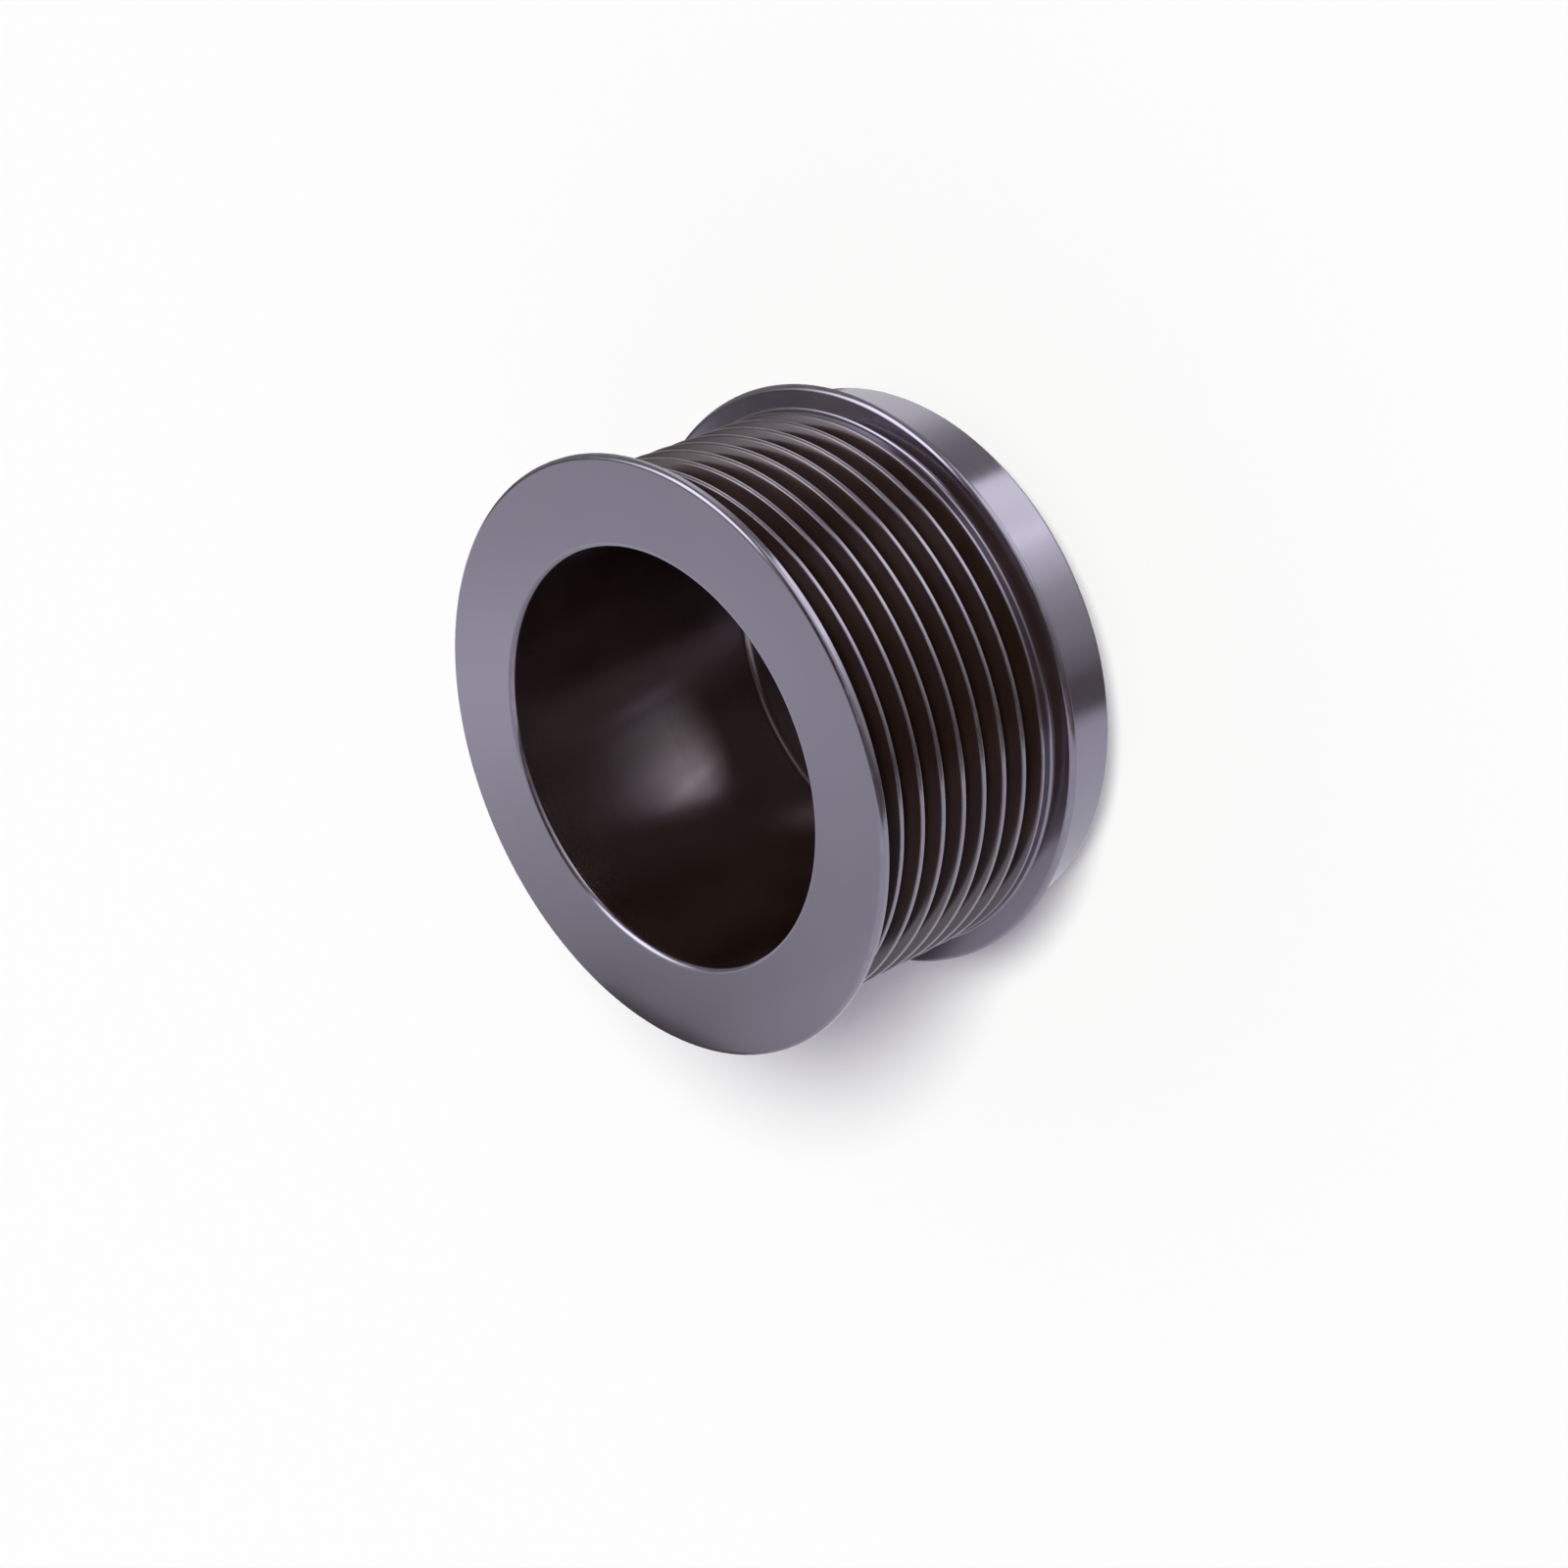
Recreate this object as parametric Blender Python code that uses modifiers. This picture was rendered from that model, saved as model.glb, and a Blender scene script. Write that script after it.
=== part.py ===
"""Alternator pulley: one solid turned from bar, with a multi-rib belt rim between two flanges.

The pulley stands on the end of its hub, with its axis on +Z and its open cup facing up.
Its whole form is one section, written as sharp corners with a rounding each, and turned
round the axis. Units are metres and +Z is up.
"""

import math

import bpy
from mathutils import Vector

# Belt grooves, to the standard multi-rib section
RIB_PITCH = 0.00356
GROOVE_COUNT = 8
GROOVE_ANGLE = math.radians(40.0)
GROOVE_ROOT_ROUND = 0.0004
CREST_WIDTH = 0.0007
CREST_ROUND = 0.00025

# Belt rim: radius over the ribs, and the plain shoulders beside the first and the last groove
RIB_RADIUS = 0.0358
FRONT_SHOULDER = 0.0020
REAR_SHOULDER = 0.00145

# The two flanges that keep the belt on, each leaning a little away from it
FLANGE_HEIGHT = 0.00305
FLANGE_TIP_WIDTH = 0.00107
FLANGE_LEAN = math.radians(5.0)
FLANGE_FOOT_ROUND = 0.0004
FLANGE_BACK_ROUND = 0.0002
FRONT_EDGE_ROUND = 0.00075
REAR_EDGE_ROUND = 0.0006

# Plain band behind the rear flange
BAND_LENGTH = 0.00935
BAND_STEP = 0.00285
BAND_EDGE_ROUND = 0.0006
STEP_FOOT_ROUND = 0.0003

# Cup bored in from the front, which leaves a thin web at the back
RIM_WALL = 0.00545
WEB_THICKNESS = 0.0023
CUP_MOUTH_ROUND = 0.0008
CUP_FLOOR_ROUND = 0.0010

# Hub behind the web, bored for the shaft
SHAFT_RADIUS = 0.0085
HUB_WALL = 0.0085
HUB_LENGTH = 0.0065
HUB_FOOT_ROUND = 0.0015
HUB_EDGE_CHAMFER = 0.0006
BORE_CHAMFER = 0.0008

# Facets: round the axis, and along each rounding by its turn; points this close are welded
TURN_STEPS = 64
ROUNDING_STEP = math.radians(60.0)
WELD_DISTANCE = 0.00001

# Hard anodised finish
BODY_COLOUR = (0.020, 0.016, 0.017, 1.0)
BODY_ROUGHNESS = 0.42
BODY_METALLIC = 0.35

# Sizes that follow from the ones above
GROOVE_TOP_WIDTH = RIB_PITCH - CREST_WIDTH
GROOVE_APEX_DEPTH = GROOVE_TOP_WIDTH / 2 / math.tan(GROOVE_ANGLE / 2)
GROOVE_DEPTH = GROOVE_APEX_DEPTH - GROOVE_ROOT_ROUND * (1 / math.sin(GROOVE_ANGLE / 2) - 1)
FLANGE_RADIUS = RIB_RADIUS + FLANGE_HEIGHT
FLANGE_RUN = FLANGE_HEIGHT * math.tan(FLANGE_LEAN)
BAND_RADIUS = FLANGE_RADIUS - BAND_STEP
CUP_RADIUS = RIB_RADIUS - GROOVE_DEPTH - RIM_WALL
HUB_RADIUS = SHAFT_RADIUS + HUB_WALL

# Heights above the end of the hub, from the bottom up
BACK_FACE = HUB_LENGTH
CUP_FLOOR = BACK_FACE + WEB_THICKNESS
REAR_FLANGE_BACK = BACK_FACE + BAND_LENGTH
REAR_FLANGE_TIP = REAR_FLANGE_BACK + FLANGE_TIP_WIDTH
REAR_FLANGE_FOOT = REAR_FLANGE_TIP + FLANGE_RUN
LAST_GROOVE_EDGE = REAR_FLANGE_FOOT + REAR_SHOULDER
FIRST_GROOVE_EDGE = LAST_GROOVE_EDGE + GROOVE_COUNT * RIB_PITCH - CREST_WIDTH
FRONT_FLANGE_FOOT = FIRST_GROOVE_EDGE + FRONT_SHOULDER
FRONT_FLANGE_TIP = FRONT_FLANGE_FOOT + FLANGE_RUN
FRONT_FACE = FRONT_FLANGE_TIP + FLANGE_TIP_WIDTH


def front_flange_corners():
    """Corners of the front flange, from the front face down to its foot, as (radius, height, rounding)."""
    return [
        (FLANGE_RADIUS, FRONT_FACE, FRONT_EDGE_ROUND),
        (FLANGE_RADIUS, FRONT_FLANGE_TIP, FLANGE_BACK_ROUND),
        (RIB_RADIUS, FRONT_FLANGE_FOOT, FLANGE_FOOT_ROUND),
    ]


def groove_corners():
    """Corners of the grooves from the first to the last: a top edge, the point of the V, a top edge."""
    corners = []
    for groove in range(GROOVE_COUNT):
        top = FIRST_GROOVE_EDGE - groove * RIB_PITCH
        corners += [
            (RIB_RADIUS, top, CREST_ROUND),
            (RIB_RADIUS - GROOVE_APEX_DEPTH, top - GROOVE_TOP_WIDTH / 2, GROOVE_ROOT_ROUND),
            (RIB_RADIUS, top - GROOVE_TOP_WIDTH, CREST_ROUND),
        ]
    return corners


def rear_flange_corners():
    """Corners of the rear flange and of the plain band behind it, down to the back face."""
    return [
        (RIB_RADIUS, REAR_FLANGE_FOOT, FLANGE_FOOT_ROUND),
        (FLANGE_RADIUS, REAR_FLANGE_TIP, REAR_EDGE_ROUND),
        (FLANGE_RADIUS, REAR_FLANGE_BACK, FLANGE_BACK_ROUND),
        (BAND_RADIUS, REAR_FLANGE_BACK, STEP_FOOT_ROUND),
        (BAND_RADIUS, BACK_FACE, BAND_EDGE_ROUND),
    ]


def hub_corners():
    """Corners of the hub and its chamfered bore, from the back face up to the floor of the cup."""
    return [
        (HUB_RADIUS, BACK_FACE, HUB_FOOT_ROUND),
        (HUB_RADIUS, HUB_EDGE_CHAMFER, 0.0),
        (HUB_RADIUS - HUB_EDGE_CHAMFER, 0.0, 0.0),
        (SHAFT_RADIUS + BORE_CHAMFER, 0.0, 0.0),
        (SHAFT_RADIUS, BORE_CHAMFER, 0.0),
        (SHAFT_RADIUS, CUP_FLOOR - BORE_CHAMFER, 0.0),
        (SHAFT_RADIUS + BORE_CHAMFER, CUP_FLOOR, 0.0),
    ]


def cup_corners():
    """Corners of the cup, from its floor up to its mouth in the front face."""
    return [
        (CUP_RADIUS, CUP_FLOOR, CUP_FLOOR_ROUND),
        (CUP_RADIUS, FRONT_FACE, CUP_MOUTH_ROUND),
    ]


def turn_at(before, corner, after):
    """Angle by which the outline turns at a corner."""
    return (corner - before).angle(after - corner)


def rounding_reaches(points, roundings):
    """How far each rounding reaches along its two sides, cut back where two would meet on one side."""
    count = len(points)
    reaches = []
    for i in range(count):
        turn = turn_at(points[i - 1], points[i], points[(i + 1) % count])
        reaches.append(roundings[i] * math.tan(turn / 2))
    limited = list(reaches)
    for i in range(count):
        following = (i + 1) % count
        side = (points[following] - points[i]).length
        asked = reaches[i] + reaches[following]
        if asked > side:
            limited[i] = min(limited[i], reaches[i] * side / asked)
            limited[following] = min(limited[following], reaches[following] * side / asked)
    return limited


def rounded_corner(before, corner, after, reach):
    """Points of the arc that replaces a sharp corner, from one side to the other."""
    if reach == 0.0:
        return [corner]
    into = (before - corner).normalized()
    out = (after - corner).normalized()
    turn = turn_at(before, corner, after)
    radius = reach / math.tan(turn / 2)
    centre = corner + (into + out).normalized() * (radius / math.cos(turn / 2))
    start = corner + into * reach - centre
    end = corner + out * reach - centre
    steps = max(1, round(turn / ROUNDING_STEP))
    arc = []
    for step in range(steps + 1):
        share = step / steps
        weight_start = math.sin((1 - share) * turn) / math.sin(turn)
        weight_end = math.sin(share * turn) / math.sin(turn)
        arc.append(centre + start * weight_start + end * weight_end)
    return arc


def section_outline():
    """The pulley's section as a closed outline of (radius, height) points, down its outside and up its bore."""
    corners = front_flange_corners() + groove_corners() + rear_flange_corners() + hub_corners() + cup_corners()
    points = [Vector((radius, height)) for radius, height, _ in corners]
    reaches = rounding_reaches(points, [rounding for _, _, rounding in corners])
    outline = []
    for i, corner in enumerate(points):
        outline += rounded_corner(points[i - 1], corner, points[(i + 1) % len(points)], reaches[i])
    return outline


def anodised_material():
    """Dark hard anodised aluminium."""
    material = bpy.data.materials.new("black_anodised")
    material.use_nodes = True
    shader = material.node_tree.nodes["Principled BSDF"]
    shader.inputs["Base Color"].default_value = BODY_COLOUR
    shader.inputs["Roughness"].default_value = BODY_ROUGHNESS
    shader.inputs["Metallic"].default_value = BODY_METALLIC
    material.diffuse_color = BODY_COLOUR
    return material


def turned_solid(name, outline, collection):
    """Object whose section is turned round Z by a Screw modifier."""
    vertices = [(point.x, 0.0, point.y) for point in outline]
    edges = [(i, (i + 1) % len(vertices)) for i in range(len(vertices))]
    mesh = bpy.data.meshes.new(name)
    mesh.from_pydata(vertices, edges, [])
    solid = bpy.data.objects.new(name, mesh)
    collection.objects.link(solid)
    turn = solid.modifiers.new("turn", "SCREW")
    turn.axis = "Z"
    turn.angle = 2 * math.pi
    turn.steps = TURN_STEPS
    turn.render_steps = TURN_STEPS
    turn.merge_threshold = WELD_DISTANCE
    turn.use_merge_vertices = True
    turn.use_smooth_shade = True
    solid.modifiers.new("shading", "WEIGHTED_NORMAL")
    return solid


def main():
    for old in list(bpy.data.objects):
        bpy.data.objects.remove(old, do_unlink=True)
    collection = bpy.data.collections.new("alternator_pulley")
    bpy.context.scene.collection.children.link(collection)
    pulley = turned_solid("pulley", section_outline(), collection)
    pulley.data.materials.append(anodised_material())


main()
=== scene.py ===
import math

import bpy
from mathutils import Matrix, Vector


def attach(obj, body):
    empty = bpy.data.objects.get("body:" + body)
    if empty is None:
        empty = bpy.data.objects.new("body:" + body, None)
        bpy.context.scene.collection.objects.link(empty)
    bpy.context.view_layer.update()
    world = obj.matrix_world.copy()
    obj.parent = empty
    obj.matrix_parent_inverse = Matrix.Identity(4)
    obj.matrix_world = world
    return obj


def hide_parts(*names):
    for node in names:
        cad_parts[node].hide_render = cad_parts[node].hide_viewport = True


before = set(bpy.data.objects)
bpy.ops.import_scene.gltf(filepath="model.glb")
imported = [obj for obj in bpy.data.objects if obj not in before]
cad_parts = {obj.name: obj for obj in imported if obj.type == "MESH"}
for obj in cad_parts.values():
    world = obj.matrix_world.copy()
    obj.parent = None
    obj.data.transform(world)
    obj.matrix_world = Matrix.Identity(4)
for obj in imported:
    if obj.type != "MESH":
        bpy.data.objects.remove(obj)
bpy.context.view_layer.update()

# Sizes of the turned section, in metres. Its diameters and lengths are the solid's. The crests, the
# shoulders and the flanges' rims, edges and lean follow the photograph's highlights more closely.
RIB_PITCH = 0.00356
GROOVE_COUNT = 8
GROOVE_ANGLE = math.radians(40.0)
GROOVE_ROOT_ROUND = 0.0004
CREST_WIDTH = 0.0006
CREST_ROUND = 0.0004
RIB_RADIUS = 0.0358
FRONT_SHOULDER = 0.00185
REAR_SHOULDER = 0.0014
FLANGE_HEIGHT = 0.00305
FRONT_TIP_WIDTH = 0.00117
REAR_TIP_WIDTH = 0.0008
FRONT_FLANGE_LEAN = math.radians(5.0)
REAR_FLANGE_LEAN = math.radians(10.0)
FLANGE_FOOT_ROUND = 0.0004
FLANGE_BACK_ROUND = 0.0002
FRONT_EDGE_ROUND = 0.0006
REAR_EDGE_ROUND = 0.00075
BAND_LENGTH = 0.00935
BAND_STEP = 0.00285
BAND_EDGE_ROUND = 0.0006
STEP_FOOT_ROUND = 0.0003
RIM_WALL = 0.00531
WEB_THICKNESS = 0.0023
CUP_MOUTH_ROUND = 0.0008
CUP_FLOOR_ROUND = 0.0010
SHAFT_RADIUS = 0.0085
HUB_WALL = 0.0085
HUB_LENGTH = 0.0065
HUB_FOOT_ROUND = 0.0015
HUB_EDGE_CHAMFER = 0.0006
BORE_CHAMFER = 0.0008
BURR_ROUND = 0.00012

# Sizes that follow from the ones above, with heights above the end of the hub
GROOVE_TOP_WIDTH = RIB_PITCH - CREST_WIDTH
GROOVE_APEX_DEPTH = GROOVE_TOP_WIDTH / 2 / math.tan(GROOVE_ANGLE / 2)
GROOVE_DEPTH = GROOVE_APEX_DEPTH - GROOVE_ROOT_ROUND * (1 / math.sin(GROOVE_ANGLE / 2) - 1)
FLANGE_RADIUS = RIB_RADIUS + FLANGE_HEIGHT
BAND_RADIUS = FLANGE_RADIUS - BAND_STEP
CUP_RADIUS = RIB_RADIUS - GROOVE_DEPTH - RIM_WALL
HUB_RADIUS = SHAFT_RADIUS + HUB_WALL
BACK_FACE = HUB_LENGTH
CUP_FLOOR = BACK_FACE + WEB_THICKNESS
REAR_FLANGE_BACK = BACK_FACE + BAND_LENGTH
REAR_FLANGE_TIP = REAR_FLANGE_BACK + REAR_TIP_WIDTH
REAR_FLANGE_FOOT = REAR_FLANGE_TIP + FLANGE_HEIGHT * math.tan(REAR_FLANGE_LEAN)
LAST_GROOVE_EDGE = REAR_FLANGE_FOOT + REAR_SHOULDER
FIRST_GROOVE_EDGE = LAST_GROOVE_EDGE + GROOVE_COUNT * RIB_PITCH - CREST_WIDTH
FRONT_FLANGE_FOOT = FIRST_GROOVE_EDGE + FRONT_SHOULDER
FRONT_FLANGE_TIP = FRONT_FLANGE_FOOT + FLANGE_HEIGHT * math.tan(FRONT_FLANGE_LEAN)
FRONT_FACE = FRONT_FLANGE_TIP + FRONT_TIP_WIDTH

# Facets of the shown surface
TURN_STEPS = 288
ROUNDING_STEP = math.radians(13.0)

# Finish of each part of the surface: lengthwise is how far its highlights are drawn out along the
# section, mark_height the height of its turning marks, dye the share of the dye's colour that it
# keeps, and tint the colour of its reflections. The groove flanks and the inside of the cup keep
# less of the dye, and the groove flanks reflect less, as painted shade in these recesses
FINISHES = {
    "body": {
        "ior": 2.4, "roughness": 0.15, "lengthwise": 0.0, "mark_height": 0.0000006,
        "dye": (1.0, 1.0, 1.0), "tint": (0.80, 0.77, 1.0, 1.0),
    },
    # Groove flanks and roots: a darker copy of the body's finish that reflects less, as painted shade
    "shaded_channel": {
        "ior": 1.75, "roughness": 0.17, "lengthwise": 0.0, "mark_height": 0.0000006,
        "dye": (0.6, 0.5, 0.35), "tint": (0.90, 0.80, 0.90, 1.0),
    },
    # Inside of the cup: bored marks that draw highlights out along the axis, and darker dye as
    # painted shade
    "shaded_cup": {
        "ior": 2.4, "roughness": 0.20, "lengthwise": 0.85, "mark_height": 0.0000008,
        "dye": (0.45, 0.32, 0.22), "tint": (0.95, 0.84, 0.91, 1.0),
    },
}
MATERIAL_ORDER = tuple(FINISHES)
QUARTER_TURN = 0.25

# What tells the parts of the surface apart: depth that still counts as crest, and slack of a size
CREST_BAND = 0.00012
SLACK = 0.000001

# Dye and the metal that worn edges show
DARK_DYE = (0.015, 0.0085, 0.0075)
FADED_DYE = (0.023, 0.014, 0.012)
BARE_METAL = (0.10, 0.095, 0.10, 1.0)

# Noises: turning marks round the axis, blotches of dye and specks of wear
MARK_PITCH = 0.00022
MARK_DETAIL = 3.0
MARK_HARSHNESS = 0.6
BLOTCH_SIZE = 0.012
BLOTCH_DETAIL = 4.0
SPECK_SIZE = 0.0016
SPECK_DETAIL = 2.0

# How the noises change the dye, the roughness and the wear: a share or a swing, or a step as
# (from, to) or (from, to, least, most)
DYE_BY_MARKS = 0.35
DYE_BY_BLOTCHES = 0.65
DYE_STEP = (0.42, 0.64)
ROUGHNESS_BY_MARKS = 0.10
ROUGHNESS_BY_BLOTCHES = 0.12
WEAR_STEP = (0.55, 1.0)
WEAR_BY_SPECKS = (0.42, 0.62, 0.15, 1.0)
WEAR_BY_BLOTCHES = (0.35, 0.6, 0.1, 0.4)

# Camera: the photograph's lens and stand, as the tilt and turn of the part's axis and the place of
# its front face, which the fit put a little below the section's
LENS_PX = 3621.256
IMAGE_PX = 1600
SENSOR_MM = 36.0
AXIS_TILT = 0.9014506
AXIS_TURN = 2.7173495
FACE_CENTRE_PX = (670.678, 776.583)
FACE_DISTANCE = 0.435891
FACE_OFFSET = 0.00021
CLIP_START = 0.01

# Directions of the photographed studio in the frame of the part, which stands on its end here
STUDIO_UP = (0.8085, -0.5887, 0.0)
STUDIO_RIGHT = (-0.4116, -0.5654, -0.7147)
STUDIO_BACK = (0.4208, 0.5777, -0.6994)

# What reflections see of the studio: light levels by how far a direction points up, right or back,
# from -1 to 1, and pairs between which a light comes or goes.
# Side wall by height, rear wall from left to right, and where one gives way to the other
TOP_LEVEL = 5.0
SIDE_LEVELS = (
    (-0.05, 0.28), (0.0, 0.52), (0.24, 0.95), (0.39, 1.3), (0.53, 2.3), (0.605, 3.1),
    (0.618, 4.6), (0.638, 4.6), (0.65, 2.9), (0.72, 3.5), (0.78, 4.4), (0.95, 3.4),
)
REAR_LEVELS = (
    (-0.12, 0.5), (-0.09, 0.9), (-0.06, 1.3), (0.0, 1.7), (0.08, 1.85), (0.12, 1.8),
    (0.17, 1.45), (0.22, 1.05), (0.27, 0.8), (0.33, 0.6), (0.45, 0.5),
)
SIDE_WALL_EDGE = (0.48, 0.51)

# Near side of the room by height, darker on the left
NEAR_LEVELS = ((0.0, 0.15), (0.15, 0.3), (0.4, 0.6), (0.55, 1.0), (0.68, 1.5), (0.82, 2.5))
NEAR_SIDE = (-0.5, -0.15)
NEAR_LEFT = (-0.5, 0.1)
NEAR_LEFT_SHARE = 0.2

# Window on the left, dimmer low down
WINDOW_LEVEL = 6.0
WINDOW_SIDE = (0.5, 0.65)
WINDOW_FOOT = (-0.1, 0.0)
WINDOW_HIGH = (0.1, 0.35)
WINDOW_LOW_SHARE = 0.22
WINDOW_NEAR = (-0.52, -0.38)
WINDOW_REAR = (0.0, 0.3)

# Overhead light, dim on the left and at the rear
OVERHEAD = (0.82, 0.93)
OVERHEAD_LEVEL = 3.6
OVERHEAD_DIM_LEVEL = 0.6
OVERHEAD_LEFT = (-0.2, 0.15)
OVERHEAD_REAR = (-0.15, 0.15)

# Even light on all that isn't a reflection
FILL_COLOUR = (0.82, 0.74, 1.0, 1.0)
FILL_LEVEL = 0.27
WHITE = (1.0, 1.0, 1.0, 1.0)

# The white table beside the part, as reflections see it, painted as light on a glowing card: an even
# far level, and a painted pool of light that is stronger on one side and has a painted spot in it
TABLE_REACH = 1.6
TABLE_FAR_LEVEL = 0.25
TABLE_LEVEL = 0.97
TABLE_COLOUR = (1.0, 0.995, 1.03, 1.0)
TABLE_POOL = (0.30, 0.20)
TABLE_POOL_PLACE = (0.03, 0.03)
TABLE_RIGHT = (-0.06, 0.02)
TABLE_RIGHT_GAIN = 1.27
SPOT_LEVEL = 0.42
SPOT_PLACE = (0.090, 0.080)
SPOT_SIZE = 0.038

# Painted shade, where the part would shade that table, shorter on one side and deepest right under
# the part
SHADE_DEPTH = 0.56
SHADE_LENGTH = 0.024
SHADE_HALF_WIDTH = 0.012
SHADE_RIGHT_PACE = 2.0
UNDER_REACH = 0.005
UNDER_SHARE = 0.35

# Lamp and floor
LAMP_HEADING = (0.23, -0.97, 0.0)
LAMP_RISE = math.radians(42.0)
LAMP_SPREAD = math.radians(18.0)
LAMP_STRENGTH = 4.07
FLOOR_HALF_SIDE = 4.0
FLOOR_COLOUR = (0.93, 0.955, 0.87, 1.0)
FLOOR_GLOW = (0.87, 0.81, 1.0, 1.0)
FLOOR_GLOW_SHARE = 0.15
SQUARE = ((-1, -1), (1, -1), (1, 1), (-1, 1))


def section_corners():
    """Corners of the section as (radius, height, rounding), down the outside and up the bore."""
    corners = [
        (FLANGE_RADIUS, FRONT_FACE, FRONT_EDGE_ROUND),
        (FLANGE_RADIUS, FRONT_FLANGE_TIP, FLANGE_BACK_ROUND),
        (RIB_RADIUS, FRONT_FLANGE_FOOT, FLANGE_FOOT_ROUND),
    ]
    for groove in range(GROOVE_COUNT):
        top = FIRST_GROOVE_EDGE - groove * RIB_PITCH
        corners += [
            (RIB_RADIUS, top, CREST_ROUND),
            (RIB_RADIUS - GROOVE_APEX_DEPTH, top - GROOVE_TOP_WIDTH / 2, GROOVE_ROOT_ROUND),
            (RIB_RADIUS, top - GROOVE_TOP_WIDTH, CREST_ROUND),
        ]
    corners += [
        (RIB_RADIUS, REAR_FLANGE_FOOT, FLANGE_FOOT_ROUND),
        (FLANGE_RADIUS, REAR_FLANGE_TIP, REAR_EDGE_ROUND),
        (FLANGE_RADIUS, REAR_FLANGE_BACK, FLANGE_BACK_ROUND),
        (BAND_RADIUS, REAR_FLANGE_BACK, STEP_FOOT_ROUND),
        (BAND_RADIUS, BACK_FACE, BAND_EDGE_ROUND),
        (HUB_RADIUS, BACK_FACE, HUB_FOOT_ROUND),
        (HUB_RADIUS, HUB_EDGE_CHAMFER, BURR_ROUND),
        (HUB_RADIUS - HUB_EDGE_CHAMFER, 0.0, BURR_ROUND),
        (SHAFT_RADIUS + BORE_CHAMFER, 0.0, BURR_ROUND),
        (SHAFT_RADIUS, BORE_CHAMFER, BURR_ROUND),
        (SHAFT_RADIUS, CUP_FLOOR - BORE_CHAMFER, BURR_ROUND),
        (SHAFT_RADIUS + BORE_CHAMFER, CUP_FLOOR, BURR_ROUND),
        (CUP_RADIUS, CUP_FLOOR, CUP_FLOOR_ROUND),
        (CUP_RADIUS, FRONT_FACE, CUP_MOUTH_ROUND),
    ]
    return corners


def section_outline():
    """Points of the rounded section, and at each the outward normal and how exposed to wear it is."""
    corners = section_corners()
    sharp = [Vector((radius, height)) for radius, height, _ in corners]
    outline = []
    for i, corner in enumerate(sharp):
        into = (sharp[i - 1] - corner).normalized()
        out = (sharp[(i + 1) % len(sharp)] - corner).normalized()
        turn = (-into).angle(out)
        rounding = corners[i][2]
        reach = rounding * math.tan(turn / 2)
        bisector = (into + out).normalized()
        centre = corner + bisector * (rounding / math.cos(turn / 2))
        start = corner + into * reach - centre
        end = corner + out * reach - centre
        convex = into.x * out.y - into.y * out.x > 0
        steps = max(1, round(turn / ROUNDING_STEP))
        for step in range(steps + 1):
            share = step / steps
            arm = start * math.sin((1 - share) * turn) + end * math.sin(share * turn)
            arm = arm / math.sin(turn)
            normal = arm.normalized() * (1 if convex else -1)
            wear = math.sin(math.pi * share) if convex else 0.0
            outline.append((centre + arm, normal, wear))
    return outline


def surface_part(low, high):
    """Which finish the strip between two points of the section has."""
    middle = (low + high) / 2
    in_grooves = LAST_GROOVE_EDGE - CREST_BAND < middle.y < FIRST_GROOVE_EDGE + CREST_BAND
    on_crest = middle.x > RIB_RADIUS - CREST_BAND
    outside = middle.x > CUP_RADIUS + CREST_BAND
    # Groove flanks and roots get the finish that holds painted shade
    if in_grooves and outside and not on_crest:
        return "shaded_channel"
    # The inside of the cup gets the finish with darker dye as painted shade
    if middle.x < CUP_RADIUS + SLACK and middle.y > CUP_FLOOR - SLACK:
        return "shaded_cup"
    return "body"


def turned_mesh(name):
    """The section turned round Z, with the section's own normals and its wear as an attribute."""
    outline = section_outline()
    count = len(outline)
    vertices, shading, wear = [], [], []
    for step in range(TURN_STEPS):
        angle = 2 * math.pi * step / TURN_STEPS
        c, s = math.cos(angle), math.sin(angle)
        vertices += [(point.x * c, point.x * s, point.y) for point, _, _ in outline]
        shading += [(normal.x * c, normal.x * s, normal.y) for _, normal, _ in outline]
        wear += [exposed for _, _, exposed in outline]
    strips = []
    for i in range(count):
        part = surface_part(outline[i][0], outline[(i + 1) % count][0])
        strips.append(MATERIAL_ORDER.index(part))
    faces, finishes = [], []
    for step in range(TURN_STEPS):
        here = step * count
        there = (step + 1) % TURN_STEPS * count
        for i in range(count):
            j = (i + 1) % count
            faces.append((here + i, here + j, there + j, there + i))
        finishes += strips
    mesh = bpy.data.meshes.new(name)
    mesh.from_pydata(vertices, [], faces)
    mesh.update()
    mesh.polygons.foreach_set("use_smooth", [True] * len(faces))
    mesh.polygons.foreach_set("material_index", finishes)
    mesh.attributes.new("wear", "FLOAT", "POINT").data.foreach_set("value", wear)
    mesh.normals_split_custom_set_from_vertices(shading)
    return mesh


def add_object(name, data):
    """New object of the scene."""
    added = bpy.data.objects.new(name, data)
    bpy.context.scene.collection.objects.link(added)
    return added


def feed(tree, socket, value):
    """Give a socket another node's output, or a number or colour of its own."""
    if isinstance(value, bpy.types.NodeSocket):
        tree.links.new(value, socket)
    else:
        socket.default_value = value


def node_math(tree, operation, *inputs):
    """A math node's output, with each input a number or another output."""
    node = tree.nodes.new("ShaderNodeMath")
    node.operation = operation
    for socket, value in zip(node.inputs, inputs):
        feed(tree, socket, value)
    return node.outputs[0]


def node_product(tree, product, *factors):
    """Product of outputs, from the first to the last."""
    for factor in factors:
        product = node_math(tree, "MULTIPLY", product, factor)
    return product


def node_length(tree, first, second):
    """Length of a two-part vector."""
    squares = [node_math(tree, "MULTIPLY", part, part) for part in (first, second)]
    return node_math(tree, "SQRT", node_math(tree, "ADD", *squares))


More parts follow.
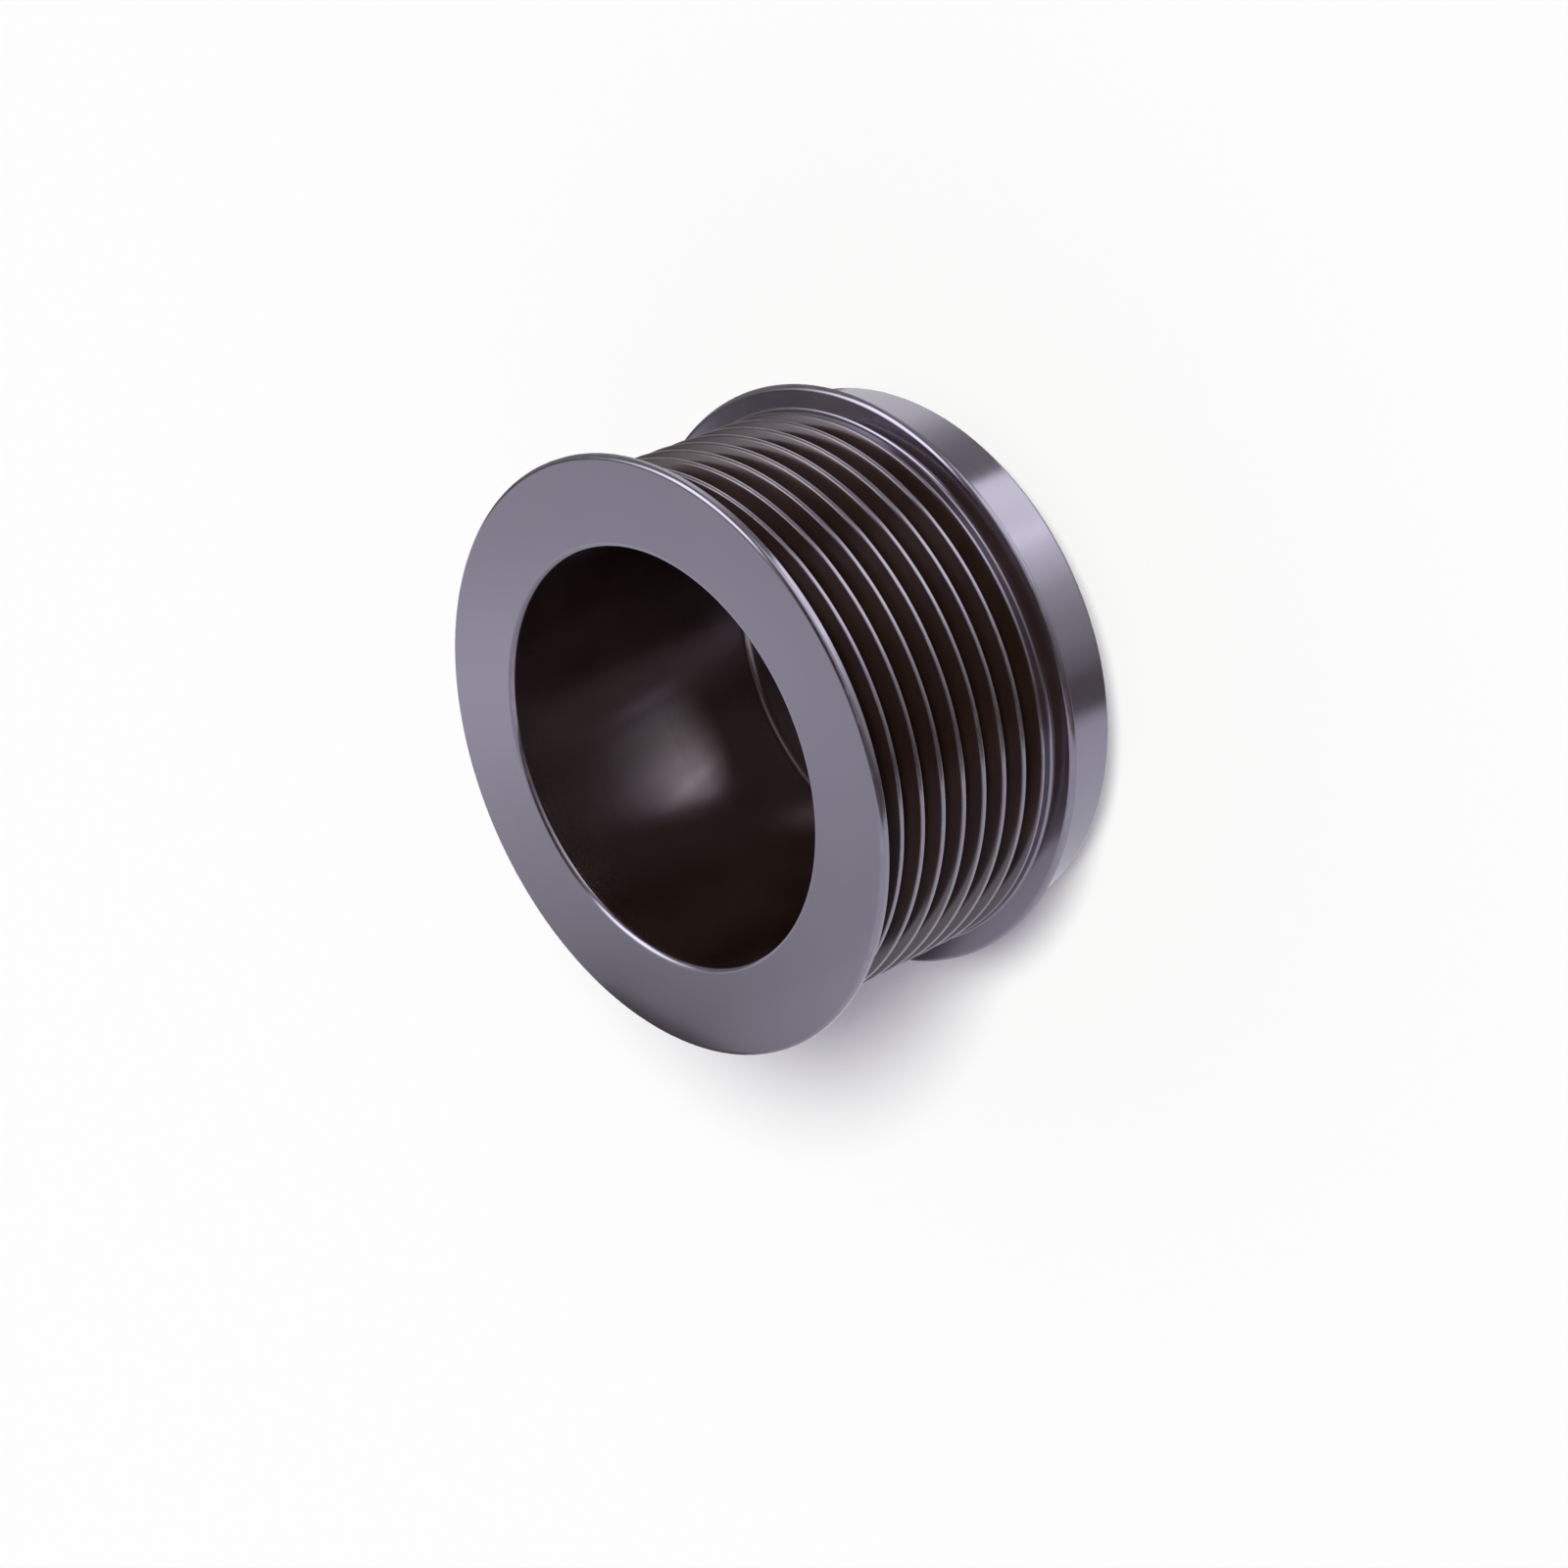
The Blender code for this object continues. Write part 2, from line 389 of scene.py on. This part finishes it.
def node_gap(tree, value, half_width):
    """How far a value is outside a span centred on zero."""
    beyond = node_math(tree, "SUBTRACT", node_math(tree, "ABSOLUTE", value), half_width)
    return node_math(tree, "MAXIMUM", beyond, 0.0)


def node_fade(tree, value, length):
    """exp(-value / length)."""
    return node_math(tree, "EXPONENT", node_math(tree, "MULTIPLY", value, -1 / length))


def node_step(tree, value, low, high, to_low=0.0, to_high=1.0):
    """Smooth step of a value, from to_low at low to to_high at high."""
    node = tree.nodes.new("ShaderNodeMapRange")
    node.interpolation_type = "SMOOTHSTEP"
    tree.links.new(value, node.inputs["Value"])
    bounds = {"From Min": low, "From Max": high, "To Min": to_low, "To Max": to_high}
    for socket, bound in bounds.items():
        node.inputs[socket].default_value = bound
    return node.outputs["Result"]


def node_dot(tree, vector, direction):
    """Dot product of an output with a fixed direction."""
    node = tree.nodes.new("ShaderNodeVectorMath")
    node.operation = "DOT_PRODUCT"
    tree.links.new(vector, node.inputs[0])
    node.inputs[1].default_value = direction
    return node.outputs["Value"]


def node_mix(tree, share, low, high):
    """Blend of two numbers or outputs."""
    node = tree.nodes.new("ShaderNodeMix")
    tree.links.new(share, node.inputs[0])
    for socket, value in zip(node.inputs[2:4], (low, high)):
        feed(tree, socket, value)
    return node.outputs[0]


def node_colour_mix(tree, share, low, high):
    """Blend of two colours or colour outputs."""
    node = tree.nodes.new("ShaderNodeMix")
    node.data_type = "RGBA"
    tree.links.new(share, node.inputs["Factor"])
    for socket, value in zip(node.inputs[6:8], (low, high)):
        feed(tree, socket, value)
    return node.outputs[2]


def node_noise(tree, vector, scale, detail, roughness=0.5):
    """Noise over a vector output."""
    node = tree.nodes.new("ShaderNodeTexNoise")
    tree.links.new(vector, node.inputs["Vector"])
    node.inputs["Scale"].default_value = scale
    node.inputs["Detail"].default_value = detail
    node.inputs["Roughness"].default_value = roughness
    return node.outputs[0]


def dyed(colour, shares):
    """Colour of the dye where only these shares of its red, green and blue are kept."""
    return tuple(part * share for part, share in zip(colour, shares)) + (1.0,)


def anodised_material(name, finish):
    """Black anodised aluminium with fine turning marks round the axis, uneven dye and worn edges."""
    material = bpy.data.materials.new(name)
    material.use_nodes = True
    tree = material.node_tree
    shader = tree.nodes["Principled BSDF"]
    shader.inputs["IOR"].default_value = finish["ior"]
    shader.inputs["Specular Tint"].default_value = finish["tint"]
    shader.inputs["Anisotropic"].default_value = finish["lengthwise"]
    shader.inputs["Anisotropic Rotation"].default_value = QUARTER_TURN
    tangent = tree.nodes.new("ShaderNodeTangent")
    tangent.direction_type = "RADIAL"
    tangent.axis = "Z"
    tree.links.new(tangent.outputs[0], shader.inputs["Tangent"])

    place = tree.nodes.new("ShaderNodeTexCoord").outputs["Object"]
    split = tree.nodes.new("ShaderNodeSeparateXYZ")
    tree.links.new(place, split.inputs[0])
    x, y, height = split.outputs
    radius = node_length(tree, x, y)
    section_place = tree.nodes.new("ShaderNodeCombineXYZ")
    parts = ((radius, MARK_PITCH), (height, MARK_PITCH), (x, BLOTCH_SIZE))
    for socket, (part, size) in zip(section_place.inputs, parts):
        tree.links.new(node_math(tree, "DIVIDE", part, size), socket)
    marks = node_noise(tree, section_place.outputs[0], 1.0, MARK_DETAIL, MARK_HARSHNESS)
    blotches = node_noise(tree, place, 1 / BLOTCH_SIZE, BLOTCH_DETAIL)
    specks = node_noise(tree, place, 1 / SPECK_SIZE, SPECK_DETAIL)

    uneven = node_math(tree, "MULTIPLY", node_step(tree, blotches, *DYE_STEP), DYE_BY_BLOTCHES)
    dye_share = node_math(tree, "MULTIPLY_ADD", marks, DYE_BY_MARKS, uneven)
    # Where a finish keeps less of the dye, the darker colour is painted shade
    dark, faded = (dyed(colour, finish["dye"]) for colour in (DARK_DYE, FADED_DYE))
    dye = node_colour_mix(tree, dye_share, dark, faded)
    worn = tree.nodes.new("ShaderNodeAttribute")
    worn.attribute_name = "wear"
    edge = node_product(
        tree,
        node_step(tree, worn.outputs["Fac"], *WEAR_STEP),
        node_step(tree, specks, *WEAR_BY_SPECKS),
        node_step(tree, blotches, *WEAR_BY_BLOTCHES),
    )
    tree.links.new(node_colour_mix(tree, edge, dye, BARE_METAL), shader.inputs["Base Color"])

    rough = finish["roughness"]
    for noise, swing in ((marks, ROUGHNESS_BY_MARKS), (blotches, ROUGHNESS_BY_BLOTCHES)):
        rough = node_math(tree, "MULTIPLY_ADD", node_math(tree, "SUBTRACT", noise, 0.5), swing, rough)
    tree.links.new(rough, shader.inputs["Roughness"])

    bump = tree.nodes.new("ShaderNodeBump")
    bump.inputs["Strength"].default_value = 1.0
    bump.inputs["Distance"].default_value = finish["mark_height"]
    tree.links.new(marks, bump.inputs["Height"])
    tree.links.new(bump.outputs[0], shader.inputs["Normal"])
    return material


def add_pulley():
    """The turned pulley in place of the plain solid."""
    pulley = add_object("turned_pulley", turned_mesh("turned_pulley"))
    for part, finish in FINISHES.items():
        pulley.data.materials.append(anodised_material("black_anodised_" + part, finish))
    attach(pulley, "root")
    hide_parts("pulley")


def add_camera():
    """Camera that sees the part as the photograph does."""
    axis = Vector((
        math.sin(AXIS_TILT) * math.cos(AXIS_TURN),
        math.sin(AXIS_TILT) * math.sin(AXIS_TURN),
        -math.cos(AXIS_TILT),
    ))
    across = axis.cross(Vector((0, 0, 1))).normalized()
    down = axis.cross(across)
    part_to_view = Matrix((-across, -down, axis)).transposed()
    centre = Vector((
        (FACE_CENTRE_PX[0] - IMAGE_PX / 2) / LENS_PX * FACE_DISTANCE,
        (FACE_CENTRE_PX[1] - IMAGE_PX / 2) / LENS_PX * FACE_DISTANCE,
        FACE_DISTANCE,
    ))
    origin = centre - axis * (FRONT_FACE - FACE_OFFSET)
    view_to_part = part_to_view.transposed()
    data = bpy.data.cameras.new("view_camera")
    data.sensor_width = SENSOR_MM
    data.lens = LENS_PX / IMAGE_PX * SENSOR_MM
    data.clip_start = CLIP_START
    camera = add_object("view_camera", data)
    turn = view_to_part @ Matrix.Diagonal((1, -1, -1))
    camera.matrix_world = Matrix.Translation(-(view_to_part @ origin)) @ turn.to_4x4()
    bpy.context.scene.camera = camera


def level_ramp(tree, value, stops):
    """Light level by a value between -1 and 1, eased between (value, level) stops."""
    node = tree.nodes.new("ShaderNodeValToRGB")
    node.color_ramp.interpolation = "EASE"
    elements = node.color_ramp.elements
    while len(elements) < len(stops):
        elements.new(0.5)
    for element, (at, level) in zip(elements, stops):
        element.position = (at + 1) / 2
        element.color = (level / TOP_LEVEL, level / TOP_LEVEL, level / TOP_LEVEL, 1)
    tree.links.new(node_math(tree, "MULTIPLY_ADD", value, 0.5, 0.5), node.inputs[0])
    return node_math(tree, "MULTIPLY", node.outputs[0], TOP_LEVEL)


def wall_light(tree, up, right, back):
    """Light of the side wall, the rear wall and the near side of the room."""
    side_wall = level_ramp(tree, up, SIDE_LEVELS)
    rear_wall = level_ramp(tree, right, REAR_LEVELS)
    walls = node_mix(tree, node_step(tree, right, *SIDE_WALL_EDGE), rear_wall, side_wall)
    near_share = node_step(tree, right, *NEAR_LEFT, NEAR_LEFT_SHARE, 1.0)
    near = node_math(tree, "MULTIPLY", level_ramp(tree, up, NEAR_LEVELS), near_share)
    return node_mix(tree, node_step(tree, back, *NEAR_SIDE), near, walls)


def window_share(tree, up, right, back):
    """How much of the window on the left a direction sees."""
    left = node_math(tree, "MULTIPLY", right, -1.0)
    return node_product(
        tree,
        node_step(tree, left, *WINDOW_SIDE),
        node_step(tree, up, *WINDOW_FOOT),
        node_step(tree, up, *WINDOW_HIGH, WINDOW_LOW_SHARE, 1.0),
        node_step(tree, back, *WINDOW_NEAR),
        node_step(tree, back, *WINDOW_REAR, 1.0, 0.0),
    )


def overhead_light(tree, right, back):
    """Light from right above."""
    lit_right = node_step(tree, right, *OVERHEAD_LEFT)
    lit_near = node_step(tree, back, *OVERHEAD_REAR, 1.0, 0.0)
    return node_mix(tree, node_product(tree, lit_right, lit_near), OVERHEAD_DIM_LEVEL, OVERHEAD_LEVEL)


def add_world():
    """Even light for all but reflections, which see the studio's walls, window and overhead light."""
    world = bpy.data.worlds.new("studio")
    bpy.context.scene.world = world
    world.use_nodes = True
    tree = world.node_tree
    background = tree.nodes["Background"]
    direction = tree.nodes.new("ShaderNodeTexCoord").outputs["Generated"]
    up = node_dot(tree, direction, STUDIO_UP)
    right = node_dot(tree, direction, STUDIO_RIGHT)
    back = node_dot(tree, direction, STUDIO_BACK)
    walls = wall_light(tree, up, right, back)
    walls = node_mix(tree, window_share(tree, up, right, back), walls, WINDOW_LEVEL)
    overhead = overhead_light(tree, right, back)
    studio_light = node_mix(tree, node_step(tree, up, *OVERHEAD), walls, overhead)
    seen_in_gloss = tree.nodes.new("ShaderNodeLightPath").outputs["Is Glossy Ray"]
    strength = node_mix(tree, seen_in_gloss, FILL_LEVEL, studio_light)
    tree.links.new(strength, background.inputs["Strength"])
    colour = node_colour_mix(tree, seen_in_gloss, FILL_COLOUR, WHITE)
    tree.links.new(colour, background.inputs["Color"])


def glow_material(name):
    """Material of an emission alone, its tree and its emission node."""
    material = bpy.data.materials.new(name)
    material.use_nodes = True
    tree = material.node_tree
    tree.nodes.clear()
    output = tree.nodes.new("ShaderNodeOutputMaterial")
    glow = tree.nodes.new("ShaderNodeEmission")
    tree.links.new(glow.outputs[0], output.inputs["Surface"])
    return material, tree, glow


def add_square(name, corners, material):
    """Square of the stage."""
    mesh = bpy.data.meshes.new(name)
    mesh.from_pydata(corners, [], [(0, 1, 2, 3)])
    mesh.materials.append(material)
    return add_object(name, mesh)


def node_distance(tree, x, z, point):
    """Distance between a place on the table and a point of it."""
    across = node_math(tree, "SUBTRACT", x, point[0])
    along = node_math(tree, "SUBTRACT", z, point[1])
    return node_length(tree, across, along)


def add_painted_table_card():
    """The photograph's white table, a glowing card only reflections see, with painted light and
    shade.
    """
    up = Vector(STUDIO_UP)
    along = Vector((0, 0, 1))
    across = along.cross(up)
    centre = -up * FLANGE_RADIUS + along * (FRONT_FACE / 2)
    material, tree, glow = glow_material("painted_table_light")
    place = tree.nodes.new("ShaderNodeNewGeometry").outputs["Position"]
    x = node_dot(tree, place, tuple(across))
    z = node_math(tree, "SUBTRACT", node_dot(tree, place, tuple(along)), FRONT_FACE / 2)

    # Painted pool of light with a painted spot in it
    pool = node_step(tree, node_distance(tree, x, z, TABLE_POOL_PLACE), *TABLE_POOL)
    pool = node_product(tree, pool, node_step(tree, x, *TABLE_RIGHT, TABLE_RIGHT_GAIN, 1.0))
    spot_gap = node_distance(tree, x, z, SPOT_PLACE)
    spot = node_fade(tree, node_product(tree, spot_gap, spot_gap), SPOT_SIZE ** 2)
    light = node_product(tree, pool, node_math(tree, "MULTIPLY_ADD", spot, SPOT_LEVEL, TABLE_LEVEL))
    light = node_math(tree, "ADD", light, TABLE_FAR_LEVEL)

    # Painted shade of the part on the table, deepest right under it
    pace = node_step(tree, x, -SHADE_HALF_WIDTH, 0.0, SHADE_RIGHT_PACE, 1.0)
    gap = node_length(tree, node_gap(tree, x, SHADE_HALF_WIDTH), node_gap(tree, z, FRONT_FACE / 2))
    shade = node_fade(tree, node_product(tree, gap, pace), SHADE_LENGTH)
    lit = node_math(tree, "MULTIPLY_ADD", shade, -SHADE_DEPTH, 1.0)
    lit = node_product(tree, lit, node_step(tree, gap, 0.0, UNDER_REACH, UNDER_SHARE, 1.0))
    glow.inputs["Color"].default_value = TABLE_COLOUR
    tree.links.new(node_product(tree, light, lit), glow.inputs["Strength"])

    corners = [tuple(centre + (across * i + along * j) * TABLE_REACH) for i, j in SQUARE]
    card = add_square("painted_light_card", corners, material)
    card.visible_camera = False
    card.visible_diffuse = False
    card.visible_shadow = False
    card.visible_transmission = False


def add_lamp():
    """Soft key light that lays the shadow where the photograph has it."""
    data = bpy.data.lights.new("key", "SUN")
    data.angle = LAMP_SPREAD
    data.energy = LAMP_STRENGTH
    lamp = add_object("key", data)
    heading = Vector(LAMP_HEADING).normalized() * math.cos(LAMP_RISE)
    toward = heading + Vector((0, 0, math.sin(LAMP_RISE)))
    lamp.rotation_euler = toward.to_track_quat("Z", "Y").to_euler()
    lamp.visible_glossy = False


def add_floor():
    """Pale floor that keeps the shadow."""
    material, tree, glow = glow_material("pale_floor")
    glow.inputs["Color"].default_value = FLOOR_GLOW
    diffuse = tree.nodes.new("ShaderNodeBsdfDiffuse")
    diffuse.inputs["Color"].default_value = FLOOR_COLOUR
    mix = tree.nodes.new("ShaderNodeMixShader")
    seen_by_camera = tree.nodes.new("ShaderNodeLightPath").outputs["Is Camera Ray"]
    tree.links.new(node_math(tree, "MULTIPLY", seen_by_camera, FLOOR_GLOW_SHARE), mix.inputs[0])
    tree.links.new(diffuse.outputs[0], mix.inputs[1])
    tree.links.new(glow.outputs[0], mix.inputs[2])
    tree.links.new(mix.outputs[0], tree.nodes["Material Output"].inputs["Surface"])
    corners = [(i * FLOOR_HALF_SIDE, j * FLOOR_HALF_SIDE, 0) for i, j in SQUARE]
    floor = add_square("floor", corners, material)
    floor.visible_glossy = False
    floor.visible_shadow = False


def main():
    add_pulley()
    add_camera()
    add_world()
    add_floor()
    add_painted_table_card()
    add_lamp()
    bpy.context.scene.view_settings.view_transform = "Standard"


main()
